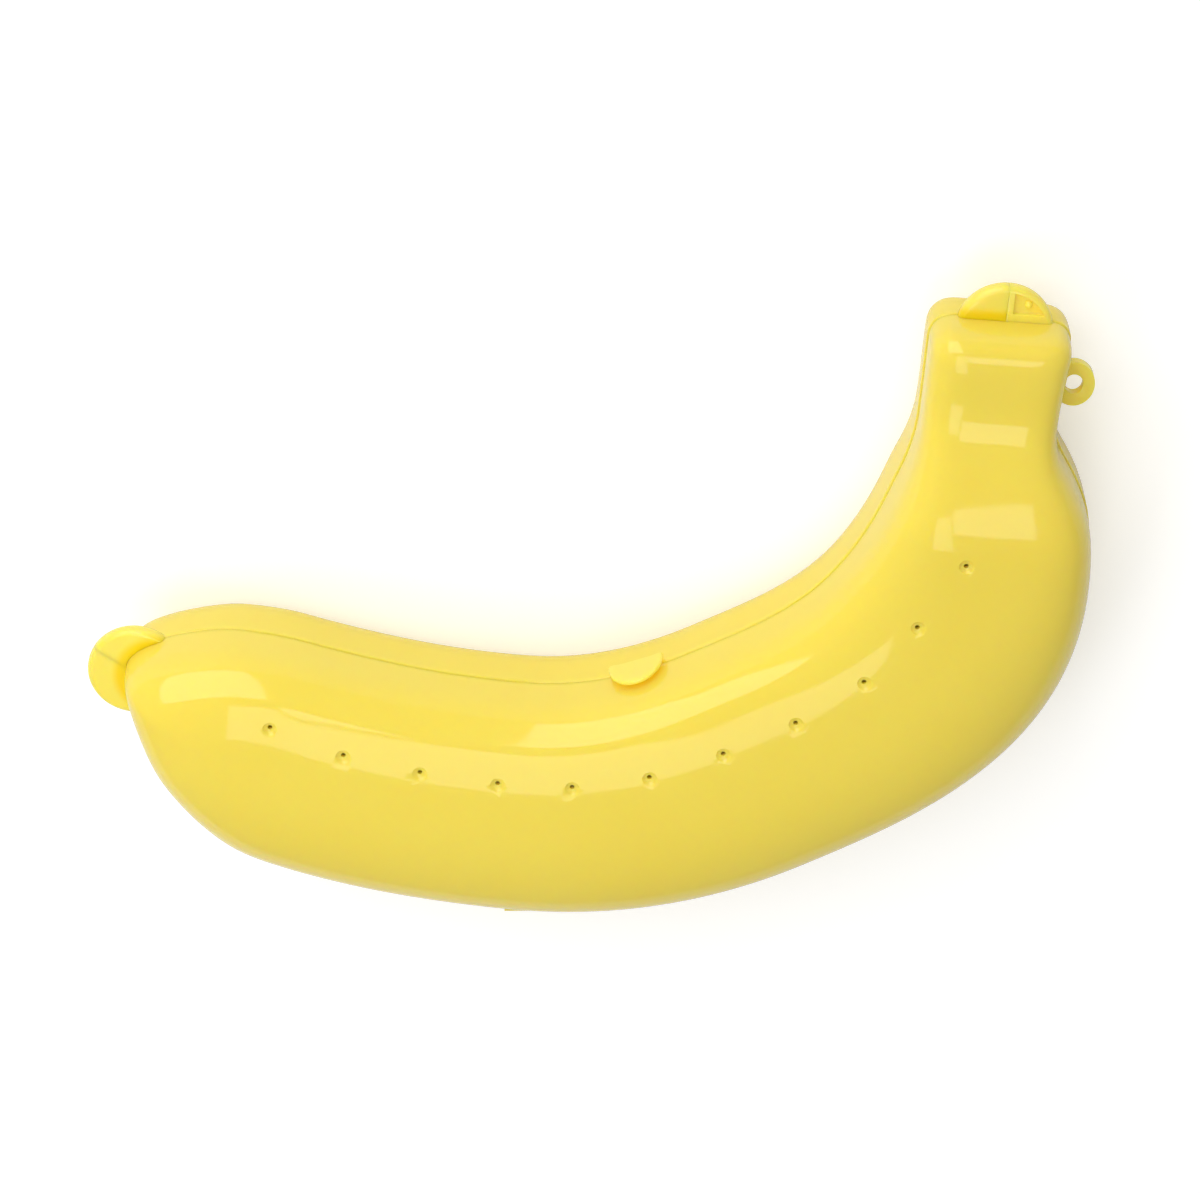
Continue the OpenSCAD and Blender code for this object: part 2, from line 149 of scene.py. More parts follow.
def crest_offset(s):
    return (inner_width(s) - outer_width(s)) / 2


def necking(s):
    return fade((s - SHOULDER_AT) / (NECK_AT - SHOULDER_AT))


def squared(s, fullness):
    """The section's fullness, which turns square along the neck."""
    return fullness + (NECK_FULLNESS - fullness) * necking(s)


def wall_fullness(s, side_fullness):
    return squared(s, TIP_FULLNESS + (side_fullness - TIP_FULLNESS) * fade(s / CHEEK_AT))


def body_station(i):
    return TIP_ROUND + (SPINE_LEN - STEM_CORNER - TIP_ROUND) * i / BODY_STEPS


def rim_strands(set_in=0):
    """The closed rim line, set in from the outer edge: each point's place, station and wall fullness."""
    quarter = math.pi / 2
    stations = []
    start = set_in - TIP_REACH
    for i in range(TIP_STEPS):
        a = quarter * i / TIP_STEPS
        stations.append((start + (TIP_ROUND - start) * (1 - math.cos(a)), math.sin(a) ** TIP_SHARP, 0))
    for i in range(BODY_STEPS):
        stations.append((body_station(i), 1, 0))
    corner = STEM_CORNER - set_in
    for i in range(CORNER_STEPS + 1):
        a = quarter * i / CORNER_STEPS
        stations.append((SPINE_LEN - STEM_CORNER + corner * math.sin(a), 1, corner * (1 - math.cos(a))))
    inner, outer, end = [], [], []
    for s, share, corner_cut in stations:
        inner_at = (inner_width(s) - set_in) * share - corner_cut
        outer_at = (outer_width(s) - set_in) * share - corner_cut
        inner.append((beside(s, inner_at), s, INNER_FULLNESS))
        outer.append((beside(s, -outer_at), s, OUTER_FULLNESS))
    for i in range(1, END_STEPS):
        end.append((inner[-1][0].lerp(outer[-1][0], i / END_STEPS), SPINE_LEN, NECK_FULLNESS))
    return inner + end + outer[:0:-1]


def section(strand):
    """Points of one strand from the rim to the crest, evenly spaced along the section's curve."""
    place, s, side_fullness = strand
    at = clamp(s, body_station(CREST_INSET), body_station(BODY_STEPS - CREST_INSET))
    crest = beside(at, crest_offset(at))
    depth = through(DEPTH_STATIONS, DEPTHS, at)
    top, wall = squared(s, TOP_FULLNESS), wall_fullness(s, side_fullness)
    reach = (place - crest).length
    curve = []
    for i in range(FINE_STEPS + 1):
        a = math.pi / 2 * (i / FINE_STEPS) ** RIM_CROWDING
        curve.append((max(math.cos(a), 0) ** (2 / top), depth * math.sin(a) ** (2 / wall)))
    curve[-1] = (0, depth)
    gone = [0]
    for (share_a, z_a), (share_b, z_b) in zip(curve, curve[1:]):
        gone.append(gone[-1] + math.hypot(reach * (share_b - share_a), z_b - z_a))
    points, i = [], 0
    for k in range(SECTION_STEPS + 1):
        aim = gone[-1] * k / SECTION_STEPS
        while i < FINE_STEPS - 1 and gone[i + 1] < aim:
            i += 1
        t = (aim - gone[i]) / (gone[i + 1] - gone[i])
        share = curve[i][0] + (curve[i + 1][0] - curve[i][0]) * t
        z = curve[i][1] + (curve[i + 1][1] - curve[i][1]) * t
        xy = crest + (place - crest) * share
        points.append(in_case(xy.x, xy.y, z))
    return points


def rim_loop(name, places):
    """A loop of edges through the places, which is left in edit mode, all of it selected."""
    bpy.ops.object.select_all(action="DESELECT")
    bpy.ops.mesh.primitive_circle_add(vertices=len(places), radius=MM)
    loop = bpy.context.object
    loop.name = name
    strand = loop.data.attributes.new("strand", "INT", "POINT")
    for v, place in zip(loop.data.vertices, places):
        strand.data[v.index].value = v.index
        v.co = place
    bpy.ops.object.mode_set(mode="EDIT")
    bpy.ops.mesh.select_all(action="SELECT")
    return loop


def extrude_loop(loop, places):
    """Extrudes the selected loop and puts each new point at its strand's place."""
    bpy.ops.mesh.extrude_edges_move()
    mesh = bmesh.from_edit_mesh(loop.data)
    strand = mesh.verts.layers.int["strand"]
    for v in mesh.verts:
        if v.select:
            v.co = places[v[strand]]
    bmesh.update_edit_mesh(loop.data)


SAME_PLACE = 0.005


def close_up(piece):
    """Merges the piece's doubles, turns its faces outwards and leaves edit mode."""
    bpy.ops.mesh.select_all(action="SELECT")
    bpy.ops.mesh.remove_doubles(threshold=SAME_PLACE * MM)
    bpy.ops.mesh.normals_make_consistent(inside=False)
    bpy.ops.object.mode_set(mode="OBJECT")
    if "strand" in piece.data.attributes:
        piece.data.attributes.remove(piece.data.attributes["strand"])


def finish_with(piece, kind, **settings):
    """Adds a modifier to the piece and applies it."""
    bpy.ops.object.select_all(action="DESELECT")
    piece.select_set(True)
    bpy.context.view_layer.objects.active = piece
    modifier = piece.modifiers.new(kind.lower(), kind)
    for key, value in settings.items():
        setattr(modifier, key, value)
    bpy.ops.object.modifier_apply(modifier=modifier.name)


def round_edges(piece, width, segments=3, angle=50):
    """Rounds the piece's sharp edges."""
    limit = math.radians(angle)
    finish_with(
        piece, "BEVEL", width=width * MM, segments=segments, limit_method="ANGLE", angle_limit=limit
    )


def cut(piece, cutter, operation="DIFFERENCE"):
    finish_with(piece, "BOOLEAN", object=cutter, operation=operation, solver="MANIFOLD")


def turned(name, profile, vertices=48):
    """A solid of revolution about Z, built up ring by ring from its (radius, height) profile in mm."""
    bpy.ops.object.select_all(action="DESELECT")
    radius, z = profile[0]
    bpy.ops.mesh.primitive_circle_add(
        vertices=vertices, radius=radius * MM, fill_type="NGON", location=(0, 0, z * MM)
    )
    piece = bpy.context.object
    piece.name = name
    bpy.ops.object.transform_apply(location=True, rotation=True, scale=True)
    bpy.ops.object.mode_set(mode="EDIT")
    bpy.ops.mesh.select_all(action="SELECT")
    for next_radius, next_z in profile[1:]:
        bpy.ops.mesh.extrude_region_move(TRANSFORM_OT_translate={"value": (0, 0, (next_z - z) * MM)})
        grow = next_radius / radius
        bpy.ops.transform.resize(value=(grow, grow, 1), center_override=(0, 0, next_z * MM))
        radius, z = next_radius, next_z
    close_up(piece)
    return piece


def put(piece, place, turn=(0, 0, 0)):
    """Turns the piece and moves it to its place, which goes into its mesh."""
    bpy.ops.object.select_all(action="DESELECT")
    piece.select_set(True)
    bpy.context.view_layer.objects.active = piece
    piece.location = place
    piece.rotation_euler = turn
    bpy.ops.object.transform_apply(location=True, rotation=True, scale=True)


def copied(piece, place):
    """A copy of the piece with its own mesh, moved to its place."""
    bpy.ops.object.select_all(action="DESELECT")
    piece.select_set(True)
    bpy.context.view_layer.objects.active = piece
    bpy.ops.object.duplicate()
    copy = bpy.context.object
    put(copy, place)
    return copy


def join(pieces):
    bpy.ops.object.select_all(action="DESELECT")
    for piece in pieces:
        piece.select_set(True)
    bpy.context.view_layer.objects.active = pieces[0]
    bpy.ops.object.join()
    return pieces[0]


def discard(piece):
    bpy.data.objects.remove(piece, do_unlink=True)


def smooth(piece, angle=35):
    bpy.ops.object.select_all(action="DESELECT")
    piece.select_set(True)
    bpy.context.view_layer.objects.active = piece
    bpy.ops.object.shade_smooth_by_angle(angle=math.radians(angle))


def half_shell(name, set_in):
    sections = [section(strand) for strand in rim_strands(set_in)]
    shell = rim_loop(name, [points[0] for points in sections])
    for level in range(1, SECTION_STEPS + 1):
        extrude_loop(shell, [points[level] for points in sections])
    close_up(shell)
    finish_with(shell, "SUBSURF", levels=1, render_levels=1)
    finish_with(shell, "SOLIDIFY", thickness=SHELL_WALL * MM, offset=-1, use_even_offset=True)
    return shell


front_shell = half_shell("front_half_shell", FRONT_SET_IN)
round_edges(front_shell, FRONT_RIM_ROUND, angle=RIM_ANGLE)

# Vents: eleven small air holes in each shell, each in a shallow dimple on the inner slope of the top.
# They are moulded straight through, along the way the mould opens.
VENT_COUNT, VENT_FIRST, VENT_PITCH, VENT_SHIFT = 11, 28, 16.4, 12
VENT_R, DIMPLE_R, DIMPLE_DEPTH = 0.5, 1.6, 0.5
DIMPLE_STEPS = 8
PUNCH_BELOW, PUNCH_ABOVE, PUNCH_FLARE, FLARE_RISE = 4, 1.5, 0.6, 0.3


def vent_offset(s):
    return crest_offset(s) + VENT_SHIFT * (1 - necking(s))


def vent_height(s):
    top, wall = squared(s, TOP_FULLNESS), wall_fullness(s, INNER_FULLNESS)
    share = VENT_SHIFT * (1 - necking(s)) / (inner_width(s) - crest_offset(s))
    return through(DEPTH_STATIONS, DEPTHS, s) * (1 - share ** top) ** (1 / wall)


punch_profile = [(VENT_R, -PUNCH_BELOW)]
for i in range(DIMPLE_STEPS + 1):
    out = i / DIMPLE_STEPS
    punch_profile.append((VENT_R + (DIMPLE_R - VENT_R) * out, -DIMPLE_DEPTH * (1 - out * out)))
punch_profile.append((DIMPLE_R + PUNCH_FLARE, FLARE_RISE))
punch_profile.append((DIMPLE_R + PUNCH_FLARE, PUNCH_ABOVE))
one_punch = turned("one_punch", punch_profile, vertices=32)

punches = []
s = VENT_FIRST
for i in range(VENT_COUNT):
    xy = beside(s, vent_offset(s))
    punches.append(copied(one_punch, in_case(xy.x, xy.y, vent_height(s))))
    bend = 1 / BELLY_BEND if s < BELLY_LEN else 1 / SHOULDER_BEND if s < NECK_START else 0
    s += VENT_PITCH / (1 - vent_offset(s) * bend)
discard(one_punch)
vent_punch = join(punches)
cut(front_shell, vent_punch)
smooth(front_shell)

# The plastic is coloured right through. The polished mould makes it glossy, and a thin wall of it lets
# some light through.
FLOW_SCALE, FLOW_SWIRL, WAVE_SCALE, GRAIN_SCALE = 22, 0.6, 90, 1400
WAVE_STRENGTH, WAVE_HEIGHT, GRAIN_STRENGTH, GRAIN_HEIGHT = 0.12, 0.25, 0.06, 0.03
FLOW_LOW, FLOW_HIGH, GLOSSIEST, DULLEST = 0.3, 0.7, 0.05, 0.09
PLASTIC_IOR, LIGHT_REACH, LIGHT_REACHES = 1.49, 1.5, (1, 0.75, 0.12)
THROUGH_TINT = (1, 0.88, 0.1)
# Painted shade and glow along the root of a thin piece, where it meets a wall: its colour, and how far out
# it is full and gone.
ROOT_SHADE_FULL, ROOT_SHADE_GONE, ROOT_SHADE_COLOUR = 0.6, 2.8, (0.95, 0.68, 0.01)


def yellow_plastic(name, colour, deep, soft, clear, root=None):
    """Glossy moulded polypropylene: faint flow marks in the colour, a slightly wavy skin and fine grain.
    Light goes some way into the wall (soft), and some of it right through (clear). Where a thin piece grows
    from a wall, a deeper orange-yellow is painted along its root as the shade and glow in the crease; the
    root is given by the middle of its curve and its radius."""
    material = bpy.data.materials.new(name)
    material.use_nodes = True
    nodes, links = material.node_tree.nodes, material.node_tree.links
    shader = nodes["Principled BSDF"]
    place = nodes.new("ShaderNodeTexCoord")

    flow = nodes.new("ShaderNodeTexNoise")
    flow.inputs["Scale"].default_value = FLOW_SCALE
    flow.inputs["Detail"].default_value = 3
    flow.inputs["Distortion"].default_value = FLOW_SWIRL
    links.new(place.outputs["Object"], flow.inputs["Vector"])
    tint = nodes.new("ShaderNodeMix")
    tint.data_type = "RGBA"
    tint.inputs["A"].default_value = (*colour, 1)
    tint.inputs["B"].default_value = (*deep, 1)
    links.new(flow.outputs["Fac"], tint.inputs["Factor"])
    colouring = tint.outputs["Result"]
    # Painted shade: a deeper orange-yellow near the root, fading out with the distance from the root's
    # curve.
    if root is not None:
        middle, radius = root
        away = nodes.new("ShaderNodeVectorMath")
        away.operation = "DISTANCE"
        away.inputs[1].default_value = middle
        links.new(place.outputs["Object"], away.inputs[0])
        near = nodes.new("ShaderNodeMapRange")
        near.interpolation_type = "SMOOTHSTEP"
        near.inputs["From Min"].default_value = radius + ROOT_SHADE_FULL * MM
        near.inputs["From Max"].default_value = radius + ROOT_SHADE_GONE * MM
        near.inputs["To Min"].default_value = 1
        near.inputs["To Max"].default_value = 0
        links.new(away.outputs["Value"], near.inputs["Value"])
        rooted = nodes.new("ShaderNodeMix")
        rooted.data_type = "RGBA"
        rooted.inputs["B"].default_value = (*ROOT_SHADE_COLOUR, 1)
        links.new(near.outputs["Result"], rooted.inputs["Factor"])
        links.new(colouring, rooted.inputs["A"])
        colouring = rooted.outputs["Result"]
    links.new(colouring, shader.inputs["Base Color"])

    gloss = nodes.new("ShaderNodeMapRange")
    gloss.inputs["From Min"].default_value = FLOW_LOW
    gloss.inputs["From Max"].default_value = FLOW_HIGH
    gloss.inputs["To Min"].default_value = GLOSSIEST
    gloss.inputs["To Max"].default_value = DULLEST
    links.new(flow.outputs["Fac"], gloss.inputs["Value"])
    links.new(gloss.outputs["Result"], shader.inputs["Roughness"])

    wave = nodes.new("ShaderNodeTexNoise")
    wave.inputs["Scale"].default_value = WAVE_SCALE
    wave.inputs["Detail"].default_value = 1
    links.new(place.outputs["Object"], wave.inputs["Vector"])
    grain = nodes.new("ShaderNodeTexNoise")
    grain.inputs["Scale"].default_value = GRAIN_SCALE
    grain.inputs["Detail"].default_value = 2
    links.new(place.outputs["Object"], grain.inputs["Vector"])
    wavy = nodes.new("ShaderNodeBump")
    wavy.inputs["Strength"].default_value = WAVE_STRENGTH
    wavy.inputs["Distance"].default_value = WAVE_HEIGHT * MM
    links.new(wave.outputs["Fac"], wavy.inputs["Height"])
    grained = nodes.new("ShaderNodeBump")
    grained.inputs["Strength"].default_value = GRAIN_STRENGTH
    grained.inputs["Distance"].default_value = GRAIN_HEIGHT * MM
    links.new(grain.outputs["Fac"], grained.inputs["Height"])
    links.new(wavy.outputs["Normal"], grained.inputs["Normal"])
    links.new(grained.outputs["Normal"], shader.inputs["Normal"])

    shader.inputs["IOR"].default_value = PLASTIC_IOR
    shader.inputs["Subsurface Weight"].default_value = soft
    shader.inputs["Subsurface Radius"].default_value = LIGHT_REACHES
    shader.inputs["Subsurface Scale"].default_value = LIGHT_REACH * MM

    # A share of the lamps' light goes straight through the wall and tints what lies behind it.
    path = nodes.new("ShaderNodeLightPath")
    through_wall = nodes.new("ShaderNodeBsdfTransparent")
    through_wall.inputs["Color"].default_value = (*(clear * share for share in THROUGH_TINT), 1)
    blend = nodes.new("ShaderNodeMixShader")
    links.new(path.outputs["Is Shadow Ray"], blend.inputs["Fac"])
    links.new(shader.outputs["BSDF"], blend.inputs[1])
    links.new(through_wall.outputs["BSDF"], blend.inputs[2])
    links.new(blend.outputs["Shader"], nodes["Material Output"].inputs["Surface"])
    return material


SHELL_COLOUR, SHELL_DEEP, SHELL_SOFT, SHELL_CLEAR = (0.94, 0.75, 0.105), (0.91, 0.705, 0.08), 0.6, 0.26
shell_yellow = yellow_plastic("shell_yellow", SHELL_COLOUR, SHELL_DEEP, SHELL_SOFT, SHELL_CLEAR)


def dress(piece, material, body, *nodes):
    """Gives the piece its plastic and puts it on its body in place of its plain solids."""
    piece.data.materials.clear()
    piece.data.materials.append(material)
    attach(piece, body)
    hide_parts(*nodes)


dress(front_shell, shell_yellow, "front_half", "front_shell")

# Rear shell: the half that lies on the floor and carries the latch, the loop and the hinge pin.
# It is the front shell mirrored about the rim, from the same polypropylene, and a little wider, so that
# its rounded rim shows past the front shell's edge as the seam.
rear_shell = half_shell("rear_half_shell", REAR_SET_IN)
round_edges(rear_shell, REAR_RIM_ROUND, angle=RIM_ANGLE)
cut(rear_shell, vent_punch)
discard(vent_punch)
bpy.ops.object.mode_set(mode="EDIT")
bpy.ops.mesh.select_all(action="SELECT")
bpy.ops.transform.resize(value=(1, 1, -1), center_override=(0, 0, RIM_Z * MM))
bpy.ops.mesh.flip_normals()
bpy.ops.object.mode_set(mode="OBJECT")
smooth(rear_shell)
dress(rear_shell, shell_yellow, "rear_half", "rear_shell")

# Locating lip: a thin rim inside the front shell's edge that slides into the rear shell.
# It is moulded in one with the front shell and stands past the rim.
LIP_HEIGHT, LIP_ROOT, LIP_THICK, LIP_CLEAR = 2.4, 2.4, 1.1, 0.6
LIP_BITE, LIP_ROUND = 0.2, 0.25


def rim_places(set_in, z):
    return [in_case(place.x, place.y, z) for place, s, fullness in rim_strands(set_in)]


lip_outer, lip_inner = SHELL_WALL + LIP_CLEAR, SHELL_WALL + LIP_CLEAR + LIP_THICK
lip = rim_loop("locating_lip", rim_places(lip_outer, -LIP_HEIGHT))
extrude_loop(lip, rim_places(lip_inner, -LIP_HEIGHT))
extrude_loop(lip, rim_places(lip_inner, LIP_ROOT))
extrude_loop(lip, rim_places(SHELL_WALL - LIP_BITE, LIP_ROOT))
extrude_loop(lip, rim_places(SHELL_WALL - LIP_BITE, LIP_BITE))
extrude_loop(lip, rim_places(lip_outer, LIP_BITE))
extrude_loop(lip, rim_places(lip_outer, -LIP_HEIGHT))
close_up(lip)
round_edges(lip, LIP_ROUND, segments=2)
smooth(lip)
# The thin pieces use the shells' plastic in a lighter yellow: painted light, for the extra brightness of
# thin plastic that light passes through.
THIN_LIT_COLOUR, THIN_LIT_DEEP, THIN_SOFT, THIN_CLEAR = (0.97, 0.81, 0.14), (0.95, 0.77, 0.11), 0.8, 0.6
thin_yellow = yellow_plastic("thin_yellow", THIN_LIT_COLOUR, THIN_LIT_DEEP, THIN_SOFT, THIN_CLEAR)
dress(lip, thin_yellow, "front_half", "front_lip")

# End tabs: at the tip and at the stem a round lobe is split in two half tabs, one on each shell.
# The thumbs push them apart to open the case; they are moulded on the rim of their shell.
TIP_TAB_R, STEM_TAB_R, TAB_HALF = 9.98, 9.98, 1.7
TIP_SLIT, STEM_SLIT = 0.03, 0.12
TIP_TAB_AT, TIP_TAB_SHIFT, STEM_TAB_AT = 0.25, 1.75, SPINE_LEN - 2.75
EDGE_R, EDGE_STEPS, TAB_SIDES = 1.3, 6, 128
ROOT_BITE, ROOT_CLEAR = 0.8, 0.03


def plug(name, set_in, low, high):
    """The space inside the rim, set in from the outer edge, between two heights."""
    piece = rim_loop(name, rim_places(set_in, low))
    bpy.ops.mesh.edge_face_add()
    bpy.ops.mesh.quads_convert_to_tris(ngon_method="CLIP")
    bpy.ops.mesh.extrude_region_move(TRANSFORM_OT_translate={"value": (0, 0, (high - low) * MM)})
    close_up(piece)
    return piece


# Each moulded-on piece takes a bite into its own shell's wall and keeps clear of the other shell.
rim_plug = plug("rim_plug", ROOT_BITE, -RIM_Z, RIM_Z)
front_plug = plug("front_plug", FRONT_SET_IN - ROOT_CLEAR, 0, RIM_Z)
rear_plug = plug("rear_plug", REAR_SET_IN - ROOT_CLEAR, -RIM_Z, 0)


def half_of(plate, side, edge, back=None):
    """Cuts a round plate down to one side of its middle line, and to what lies past its back."""
    bpy.ops.object.mode_set(mode="EDIT")
    bpy.ops.mesh.select_all(action="SELECT")
    bpy.ops.mesh.bisect(
        plane_co=(0, side * edge * MM, 0), plane_no=(0, side, 0), clear_inner=True, use_fill=True
    )
    if back is not None:
        bpy.ops.mesh.select_all(action="SELECT")
        bpy.ops.mesh.bisect(plane_co=(back * MM, 0, 0), plane_no=(1, 0, 0), clear_inner=True, use_fill=True)
    close_up(plate)


def at_spine(piece, s, shift=0):
    xy = beside(s, shift)
    put(piece, in_case(xy.x, xy.y, 0), (0, 0, heading(s)))


def half_tab(name, s, shift, radius, side, slit, other_plug):
    profile = []
    for i in range(EDGE_STEPS + 1):
        a = math.pi / 2 * i / EDGE_STEPS
        profile.append((radius - EDGE_R * (1 - math.sin(a)), -TAB_HALF + EDGE_R * (1 - math.cos(a))))
    profile += [(r, -z) for r, z in reversed(profile)]
    tab = turned(name, profile, vertices=TAB_SIDES)
    half_of(tab, side, slit / 2)
    if slit == STEM_SLIT:
        round_edges(tab, slit)
    at_spine(tab, s, shift)
    cut(tab, rim_plug)
    cut(tab, other_plug)
    return tab


tip_lobe = TIP_TAB_AT, -TIP_TAB_SHIFT, TIP_TAB_R
stem_lobe = STEM_TAB_AT, 0, STEM_TAB_R
rear_tip_tab = half_tab("rear_tip_lobe", *tip_lobe, 1, TIP_SLIT, front_plug)
front_tip_tab = half_tab("front_tip_lobe", *tip_lobe, -1, TIP_SLIT, rear_plug)
rear_stem_tab = half_tab("rear_stem_lobe", *stem_lobe, 1, STEM_SLIT, front_plug)
front_stem_tab = half_tab("front_stem_lobe", *stem_lobe, -1, STEM_SLIT, rear_plug)
discard(front_plug)
discard(rear_plug)

# The front stem tab has a bordered recess with a small nub in it, for grip.
RECESS_BORDER, RECESS_DEPTH, RECESS_ROUND, RECESS_OVER = 1.3, 0.8, 0.4, 2
NUB_R, NUB_SINK, NUB_CROWN = 0.8, 0.5, ((1, 0.5), (0.7, 0.2), (0.3, 0))
recess_back = SPINE_LEN - STEM_TAB_AT + RECESS_BORDER
recess_floor = TAB_HALF - RECESS_DEPTH
recess_r = STEM_TAB_R - RECESS_BORDER
recess_ends = [(recess_r, recess_floor), (recess_r, TAB_HALF + RECESS_OVER)]
recess = turned("recess_punch", recess_ends, vertices=TAB_SIDES)
half_of(recess, -1, STEM_SLIT / 2 + RECESS_BORDER, recess_back)
round_edges(recess, RECESS_ROUND)
at_spine(recess, STEM_TAB_AT)
cut(front_stem_tab, recess)
discard(recess)
nub_profile = [(NUB_R, recess_floor - NUB_SINK)]
nub_profile += [(share * NUB_R, TAB_HALF - inset) for share, inset in NUB_CROWN]
nub = turned("grip_nub", nub_profile, vertices=32)
nub_side = -(STEM_SLIT / 2 + 2 * RECESS_BORDER + 2 * NUB_R)
nub_at = beside(STEM_TAB_AT + recess_back + RECESS_BORDER + NUB_R, nub_side)
put(nub, in_case(nub_at.x, nub_at.y, 0))
cut(front_stem_tab, nub, "UNION")
discard(nub)

# The tabs get painted shade: a deeper orange-yellow where they grow from the rim, round the tip and along
# the stem's end, for the shade and glow in the crease at their roots.
TIP_CURVE, STEM_CURVE = 7.4, 400


# The thin pieces' plastic with painted shade and glow along a root curve.
def rooted_yellow(name, middle, radius):
    root = in_case(middle.x, middle.y, 0), radius * MM
    return yellow_plastic(name, THIN_LIT_COLOUR, THIN_LIT_DEEP, THIN_SOFT, THIN_CLEAR, root)


tip_root_shaded_yellow = rooted_yellow("tip_root_shaded_yellow", spine(TIP_CURVE - TIP_REACH), TIP_CURVE)
stem_back = spine(SPINE_LEN) - direction(heading(SPINE_LEN)) * STEM_CURVE
stem_root_shaded_yellow = rooted_yellow("stem_root_shaded_yellow", stem_back, STEM_CURVE)
for tab, plastic, body, node in (
    (rear_tip_tab, tip_root_shaded_yellow, "rear_half", "rear_tip_tab"),
    (front_tip_tab, tip_root_shaded_yellow, "front_half", "front_tip_tab"),
    (rear_stem_tab, stem_root_shaded_yellow, "rear_half", "rear_stem_tab"),
    (front_stem_tab, thin_yellow, "front_half", "front_stem_tab"),
):
    smooth(tab)
    dress(tab, plastic, body, node)

# Latch: a half-round flap stands over the inner rim on a short web, which is moulded on the rear shell.
# It snaps over a low rib on the front shell and springs outwards when the case is pulled open.
LATCH_AT, FLAP_R, FLAP_THICK, FLAP_MIDDLE, FLAP_GAP = 118, 5.95, 1, -0.4, 0.8
FLAP_DISH, FLAP_BORDER, FLAP_SLOPE, FLAP_ROUND = 0.15, 1.2, 2.6, 0.42
FLAP_STRETCH, FLAP_ROOT, FLAP_CLEAR = 1.4, 0.8, 0.92
WEB_WIDTH, WEB_HEIGHT, WEB_DROP, WEB_ROUND = 8, 0.9, 0.3, 0.1
RIB_LEN, RIB_HEIGHT, RIB_RISE, RIB_THICK, RIB_ROUND = 9, 1.2, 0.8, 0.5, 0.4
ROUND_SIDES, HALF_STEP = 96, 0.5
rim_ahead = beside(LATCH_AT + HALF_STEP, inner_width(LATCH_AT + HALF_STEP))
rim_behind = beside(LATCH_AT - HALF_STEP, inner_width(LATCH_AT - HALF_STEP))
latch_turn = math.atan2(rim_ahead.y - rim_behind.y, rim_ahead.x - rim_behind.x)
latch_rim = beside(LATCH_AT, inner_width(LATCH_AT))
latch_out = Vector((-math.sin(latch_turn), math.cos(latch_turn)))


def stretch(piece, grow):
    """Makes a round piece longer along Y."""
    piece.scale = (1, grow, 1)
    put(piece, (0, 0, 0))


flap_profile = [
    (FLAP_R, 0),
    (FLAP_R, FLAP_THICK),
    (FLAP_R - FLAP_BORDER, FLAP_THICK),
    (FLAP_R - FLAP_SLOPE, FLAP_THICK - FLAP_DISH),
]
flap = turned("latch_flap", flap_profile, vertices=ROUND_SIDES)
stretch(flap, FLAP_STRETCH)
round_edges(flap, FLAP_ROUND, segments=4, angle=25)

# Its root end is straight and lies on the rear shell's wall.
bpy.ops.object.mode_set(mode="EDIT")
bpy.ops.mesh.select_all(action="SELECT")
bpy.ops.mesh.bisect(plane_co=(0, FLAP_ROOT * MM, 0), plane_no=(0, 1, 0), clear_outer=True, use_fill=True)
close_up(flap)
flap_at = latch_rim + latch_out * FLAP_GAP
put(flap, in_case(flap_at.x, flap_at.y, FLAP_MIDDLE), (math.radians(-90), 0, latch_turn))
smooth(flap)
flap_yellow = yellow_plastic("flap_yellow", THIN_LIT_COLOUR, THIN_LIT_DEEP, THIN_SOFT, FLAP_CLEAR)
dress(flap, flap_yellow, "latch", "latch_disc")


def block(name, low, high, rounding):
    """A small moulded block by the latch: x along the rim, y out from the wall, z over the rim."""
    bpy.ops.object.select_all(action="DESELECT")
    size = Vector(high) - Vector(low)
    middle = (Vector(high) + Vector(low)) / 2
    bpy.ops.mesh.primitive_cube_add(size=1, location=middle * MM, scale=size * MM)
    piece = bpy.context.object
    piece.name = name
    bpy.ops.object.transform_apply(location=True, rotation=True, scale=True)
    round_edges(piece, rounding)
    return piece


web_low = -WEB_WIDTH / 2, -ROOT_BITE, -WEB_DROP - WEB_HEIGHT
web = block("latch_web_block", web_low, (WEB_WIDTH / 2, FLAP_GAP, -WEB_DROP), WEB_ROUND)
put(web, in_case(latch_rim.x, latch_rim.y, 0), (0, 0, latch_turn))
smooth(web)
dress(web, shell_yellow, "rear_half", "latch_web")

rib_high = RIB_LEN / 2, RIB_THICK, RIB_RISE + RIB_HEIGHT
rib = block("catch_rib", (-RIB_LEN / 2, -ROOT_BITE, RIB_RISE), rib_high, RIB_ROUND)
put(rib, in_case(latch_rim.x, latch_rim.y, 0), (0, 0, latch_turn))
smooth(rib)
dress(rib, shell_yellow, "front_half", "latch_catch")

# Lanyard loop: a round eye on the outer side of the neck for a cord or a split ring.
# It is moulded on the rear shell's wall, just below the rim.
LOOP_AT, LOOP_HOLE_R, LOOP_BAND, LOOP_OUT, LOOP_THICK, LOOP_DROP = 244, 1.9, 2.4, 2.4, 2.4, 0.2
LOOP_ROUND, LOOP_STRETCH, HOLE_STRETCH, PUNCH_PAST = 0.75, 1.13, 1.15, 1
neck_ahead = beside(LOOP_AT + HALF_STEP, -outer_width(LOOP_AT + HALF_STEP))
neck_behind = beside(LOOP_AT - HALF_STEP, -outer_width(LOOP_AT - HALF_STEP))
loop_way = (neck_ahead - neck_behind).normalized()
loop_at = beside(LOOP_AT, -outer_width(LOOP_AT)) + Vector((loop_way.y, -loop_way.x)) * LOOP_OUT
loop_r = LOOP_HOLE_R + LOOP_BAND
loop = turned("lanyard_eye", [(loop_r, 0), (loop_r, LOOP_THICK)], vertices=ROUND_SIDES)
